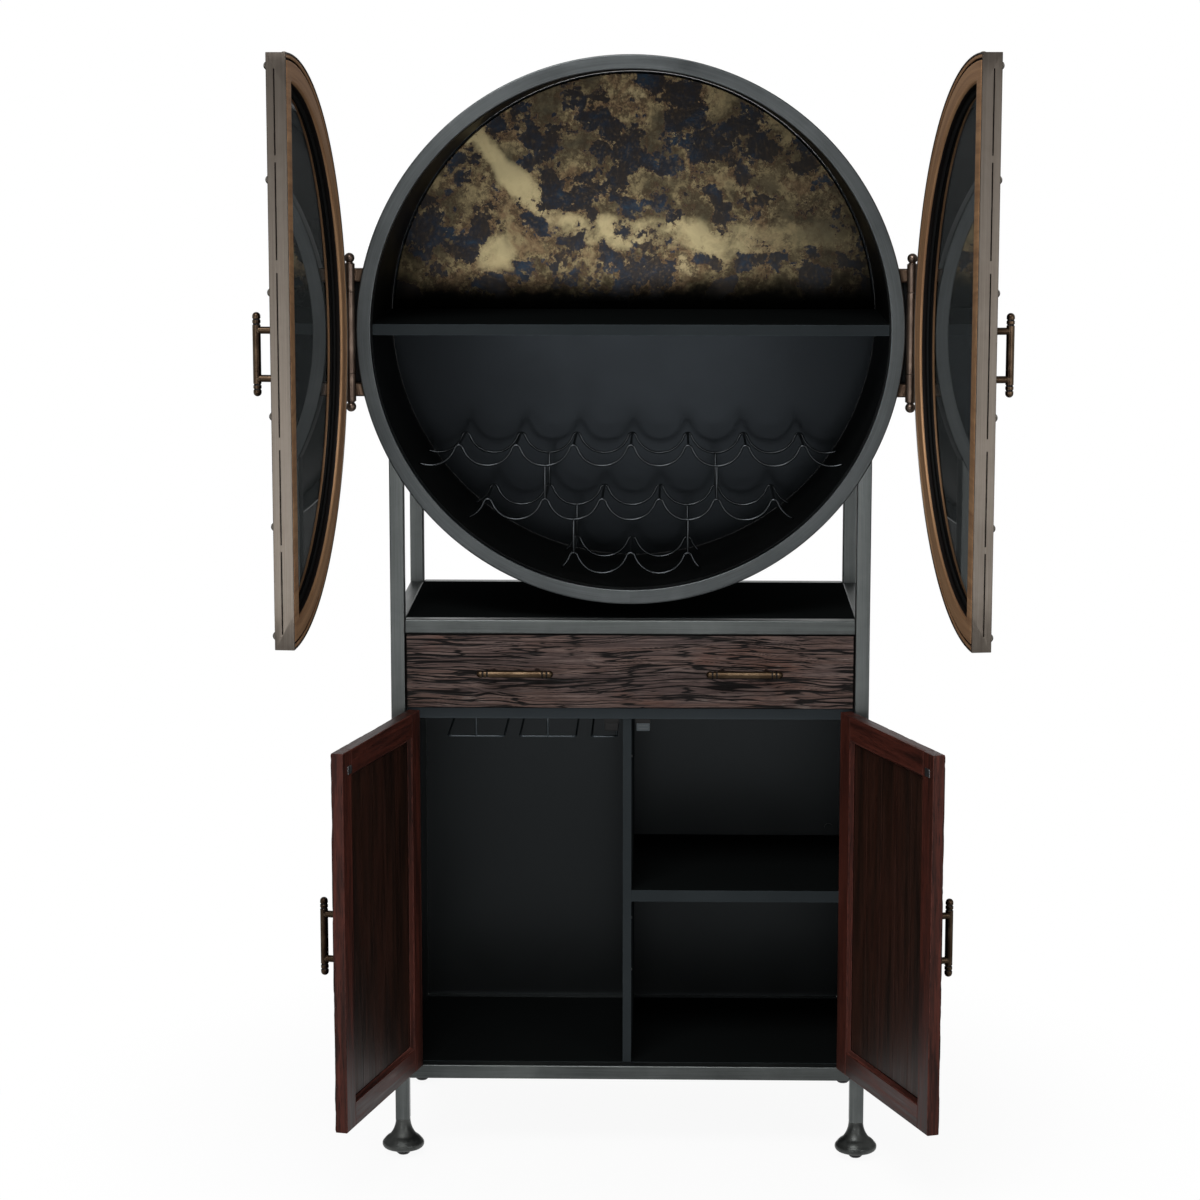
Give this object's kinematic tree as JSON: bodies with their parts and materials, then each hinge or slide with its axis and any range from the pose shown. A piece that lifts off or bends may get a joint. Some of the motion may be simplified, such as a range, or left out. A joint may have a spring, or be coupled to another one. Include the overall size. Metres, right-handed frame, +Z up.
{
  "type": "round bar cabinet",
  "caption": "Tall bar cabinet: a steel drum with half-round glass doors, a mirror and a bottle rack, on a square-tube frame with an open shelf, a drawer and a cupboard.",
  "frame": {"origin": "on the floor, under the middle of the four posts", "axes": "+Z up, the front with the doors faces -Y, +X to the right when facing the front"},
  "size_m": [1.1966, 0.9561, 1.9389],
  "materials": {
    "brushed_steel": "brushed gunmetal, clear lacquer",
    "black_enamel": "satin black",
    "black_board": "board painted satin black",
    "foxed_mirror": "antiqued mirror, brown and blue-black foxing",
    "black_wire": "satin black",
    "door_rim_steel": "warm grey antiqued steel",
    "moulding_bronze": "wood moulding, tan bronze paint",
    "door_gasket": "black rubber",
    "clear_glass": "clear",
    "antique_bronze": "antique bronze, worn edges",
    "rivet_steel": "dark polished dome",
    "cast_feet": "gunmetal paint",
    "glide_plastic": "black nylon",
    "red_brown_wood": "red-brown stain, satin",
    "weathered_wood": "deep weathered grain, dark brown",
    "drawer_wood": "plain drawer box timber",
    "zinc_plate": "zinc plated",
    "catch_plastic": "light grey"
  },
  "bodies": {
    "root": {"front_left_post": "brushed_steel", "front_right_post": "brushed_steel", "rear_left_post": "brushed_steel", "rear_right_post": "brushed_steel", "front_ring": "brushed_steel", "rear_ring": "brushed_steel", "drum_shell": "black_enamel", "drum_back_panel": "black_enamel", "antique_mirror": "foxed_mirror", "drum_shelf": "black_board", "wine_rack_waves": "black_wire", "wine_rack_rods": "black_wire", "shelf_rails": "brushed_steel", "base_rails": "brushed_steel", "open_shelf": "black_board", "side_panels": "black_enamel", "cabinet_back_panel": "black_enamel", "drawer_bay_floor": "black_board", "cabinet_floor": "black_board", "bay_divider": "black_board", "middle_shelf": "black_board", "stemware_rack": "black_wire", "magnetic_catches": "catch_plastic", "drawer_fixed_runners": "zinc_plate", "bell_feet": "cast_feet", "ring_hinge_halves": "antique_bronze", "post_hinge_leaves": "antique_bronze"},
    "upper_left_door": {"upper_left_rim": "door_rim_steel", "upper_left_moulding": "moulding_bronze", "upper_left_gasket": "door_gasket", "upper_left_glass": "clear_glass", "upper_left_rivets": "rivet_steel", "upper_left_handle": "antique_bronze", "upper_left_hinge_leaf": "antique_bronze"},
    "upper_right_door": {"upper_right_rim": "door_rim_steel", "upper_right_moulding": "moulding_bronze", "upper_right_gasket": "door_gasket", "upper_right_glass": "clear_glass", "upper_right_rivets": "rivet_steel", "upper_right_handle": "antique_bronze", "upper_right_hinge_leaf": "antique_bronze"},
    "lower_left_door": {"lower_left_door_frame": "red_brown_wood", "lower_left_door_panel": "red_brown_wood", "lower_left_handle": "antique_bronze", "lower_left_hinge_leaves": "antique_bronze", "lower_left_strike": "zinc_plate"},
    "lower_right_door": {"lower_right_door_frame": "red_brown_wood", "lower_right_door_panel": "red_brown_wood", "lower_right_handle": "antique_bronze", "lower_right_hinge_leaves": "antique_bronze", "lower_right_strike": "zinc_plate"},
    "drawer": {"drawer_front": "weathered_wood", "drawer_box": "drawer_wood", "drawer_bottom": "drawer_wood", "drawer_handles": "antique_bronze", "drawer_moving_runners": "zinc_plate"},
    "front_left_glide": {"front_left_glide": "glide_plastic"},
    "front_right_glide": {"front_right_glide": "glide_plastic"},
    "rear_left_glide": {"rear_left_glide": "glide_plastic"},
    "rear_right_glide": {"rear_right_glide": "glide_plastic"}
  },
  "joints": [
    {"name": "upper_left_hinge", "type": "hinge", "parent": "root", "child": "upper_left_door", "pos_m": [-0.4795, -0.2285, 1.468], "axis": [0, 0, 1], "range_deg": [-24.6, 95.4]},
    {"name": "lower_left_hinge", "type": "hinge", "parent": "root", "child": "lower_left_door", "pos_m": [-0.38975, -0.232, 0.491], "axis": [0, 0, 1], "range_deg": [-15.6, 104.4]},
    {"name": "upper_right_hinge", "type": "hinge", "parent": "root", "child": "upper_right_door", "pos_m": [0.4795, -0.2285, 1.468], "axis": [0, 0, -1], "range_deg": [-22.1, 97.9]},
    {"name": "lower_right_hinge", "type": "hinge", "parent": "root", "child": "lower_right_door", "pos_m": [0.38975, -0.232, 0.491], "axis": [0, 0, -1], "range_deg": [-10.1, 109.9]},
    {"name": "drawer_slide", "type": "slide", "parent": "root", "child": "drawer", "axis": [0, -1, 0], "range_m": [0, 0.3]},
    {"name": "front_left_glide_screw", "type": "hinge", "parent": "root", "child": "front_left_glide", "pos_m": [-0.4035, -0.216, 0], "axis": [0, 0, 1], "continuous": true},
    {"name": "front_right_glide_screw", "type": "hinge", "parent": "root", "child": "front_right_glide", "pos_m": [0.4035, -0.216, 0], "axis": [0, 0, 1], "continuous": true},
    {"name": "rear_left_glide_screw", "type": "hinge", "parent": "root", "child": "rear_left_glide", "pos_m": [-0.4035, 0.216, 0], "axis": [0, 0, 1], "continuous": true},
    {"name": "rear_right_glide_screw", "type": "hinge", "parent": "root", "child": "rear_right_glide", "pos_m": [0.4035, 0.216, 0], "axis": [0, 0, 1], "continuous": true}
  ]
}
